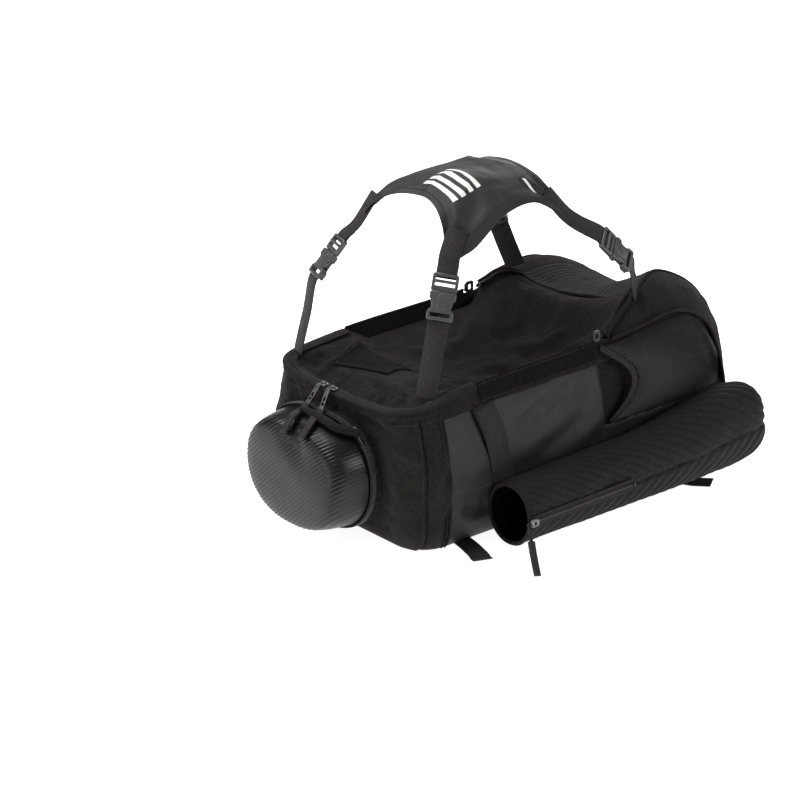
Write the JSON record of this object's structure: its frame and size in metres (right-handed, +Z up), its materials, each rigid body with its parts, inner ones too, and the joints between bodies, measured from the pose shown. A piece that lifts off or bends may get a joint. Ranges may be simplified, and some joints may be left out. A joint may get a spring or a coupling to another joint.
{
  "type": "baseball bat backpack",
  "caption": "Black fabric bat backpack lying on its back, with hard case, two bat sleeves, net side pockets and a buckled flap over the headgear space.",
  "frame": {"origin": "middle of the resting face of the back padding", "axes": "+Z up from the surface it lies on, +X towards the bottom end of the pack, -Y the near side"},
  "size_m": [0.6136, 0.5222, 0.4058],
  "materials": {
    "cloth": "matte",
    "coated": "satin",
    "net": "matte",
    "ribbed": "matte",
    "sleeve_knit": "matte",
    "flap_cloth": "satin",
    "webbing": "matte",
    "zip": "satin",
    "hardware": "satin",
    "metal": "satin",
    "moulded": "satin"
  },
  "bodies": {
    "root": {"top_end_panel": "cloth", "side_panel_near": "coated", "gusset_near": "cloth", "side_panel_far": "coated", "gusset_far": "cloth", "front_panel_lower": "ribbed", "front_panel_upper": "cloth", "loop_patch": "webbing", "main_zip": "zip", "grip_band_near": "webbing", "grip_band_far": "webbing", "case_base": "cloth", "case_zip": "zip", "case_shell": "moulded", "sleeve_near": "sleeve_knit", "sleeve_zip_near": "zip", "sleeve_pull_near": "zip", "sleeve_far": "sleeve_knit", "sleeve_zip_far": "zip", "sleeve_pull_far": "zip", "side_webbing_near": "webbing", "pocket_net_near": "net", "pocket_binding_near": "webbing", "side_webbing_far": "webbing", "pocket_net_far": "net", "pocket_binding_far": "webbing", "helmet_flap": "flap_cloth", "strap_a_socket": "hardware", "strap_a_plug": "hardware", "strap_a_lower": "webbing", "strap_a_upper": "webbing", "strap_b_socket": "hardware", "strap_b_plug": "hardware", "strap_b_lower": "webbing", "strap_b_upper": "webbing", "strap_c_socket": "hardware", "strap_c_plug": "hardware", "strap_c_lower": "webbing", "strap_c_upper": "webbing", "strap_d_socket": "hardware", "strap_d_plug": "hardware", "strap_d_lower": "webbing", "strap_d_upper": "webbing", "back_panel": "cloth", "back_pad_middle": "net", "back_pad_bottom": "net", "shoulder_strap_near": "cloth", "strap_tail_near": "webbing", "top_tail_near": "webbing", "shoulder_strap_far": "cloth", "strap_tail_far": "webbing", "top_tail_far": "webbing", "zip_slider_near": "metal", "zip_pull_near": "zip", "zip_slider_far": "metal", "zip_pull_far": "zip", "case_slider": "metal", "case_pull": "zip", "band_ring_near": "hardware", "band_ring_far": "hardware"}
  },
  "joints": []
}
